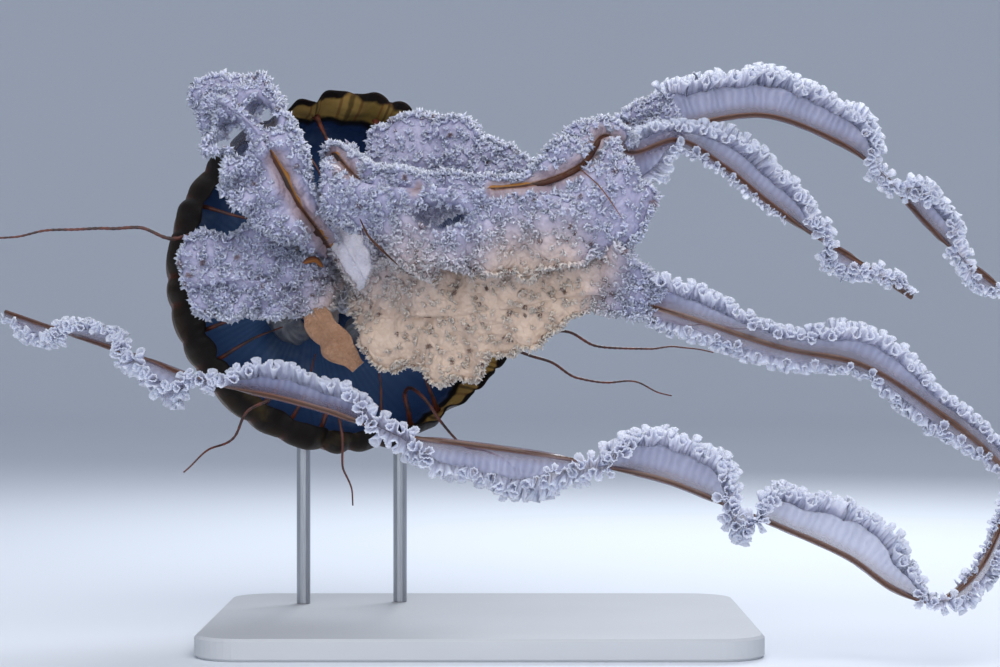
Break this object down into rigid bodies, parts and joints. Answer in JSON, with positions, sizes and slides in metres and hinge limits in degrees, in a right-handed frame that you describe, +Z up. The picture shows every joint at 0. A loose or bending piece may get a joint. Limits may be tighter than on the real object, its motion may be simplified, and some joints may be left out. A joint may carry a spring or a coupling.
{
  "type": "sea nettle jellyfish on a display stand",
  "caption": "Life-size still model of a swimming Pacific sea nettle: scalloped bell tipped to show its mouth, long frilled oral arms and thin tentacles, on a flat base with rods.",
  "frame": {"origin": "middle of the stand base's underside", "axes": "+Z up; +X the way the long arms trail, along the base's long side; -Y the side that the bell's mouth and the arms face, turned 19 degrees towards +X"},
  "size_m": [0.5922, 0.2576, 0.3186],
  "materials": {
    "bell": "wet cloudy jelly, smoky blue-grey inside, amber to black-brown outside",
    "bell_rim": "wet, golden-brown lappets with black-brown borders",
    "oral_flesh": "wet cream and tan folds",
    "arm_lace": "finely ruffled lavender-white lace over smoky membranes, with a red-brown midrib",
    "tentacle": "wet red-brown ribbon",
    "stand_base": "plain matt pale grey board with an eased edge",
    "stand_rod": "brushed"
  },
  "bodies": {
    "root": {"bell": "bell", "bell_rim": "bell_rim", "manubrium": "oral_flesh", "gonad_1": "oral_flesh", "gonad_2": "oral_flesh", "gonad_3": "oral_flesh", "gonad_4": "oral_flesh", "arm_a_1": "arm_lace", "arm_a_2": "arm_lace", "arm_b_1": "arm_lace", "arm_b_2": "arm_lace", "arm_b_3": "arm_lace", "arm_b_4": "arm_lace", "arm_b_5": "arm_lace", "arm_c_1": "arm_lace", "arm_c_2": "arm_lace", "arm_c_3": "arm_lace", "arm_c_4": "arm_lace", "arm_d_1": "arm_lace", "arm_d_2": "arm_lace", "arm_d_3": "arm_lace", "arm_d_4": "arm_lace", "arm_d_5": "arm_lace", "arm_d_6": "arm_lace", "arm_d_7": "arm_lace", "arm_d_8": "arm_lace", "arm_d_lobe": "arm_lace", "tentacle_01": "tentacle", "tentacle_02": "tentacle", "tentacle_03": "tentacle", "tentacle_04": "tentacle", "tentacle_05": "tentacle", "tentacle_06": "tentacle", "tentacle_07": "tentacle", "tentacle_08": "tentacle", "tentacle_09": "tentacle", "tentacle_10": "tentacle", "tentacle_11": "tentacle", "tentacle_12": "tentacle", "tentacle_13": "tentacle", "tentacle_14": "tentacle", "tentacle_15": "tentacle", "tentacle_16": "tentacle", "tentacle_17": "tentacle", "tentacle_18": "tentacle", "tentacle_19": "tentacle", "tentacle_20": "tentacle", "tentacle_21": "tentacle", "tentacle_22": "tentacle", "tentacle_23": "tentacle", "tentacle_24": "tentacle", "stand_base": "stand_base", "stand_rod_1": "stand_rod", "stand_rod_2": "stand_rod"}
  },
  "joints": []
}
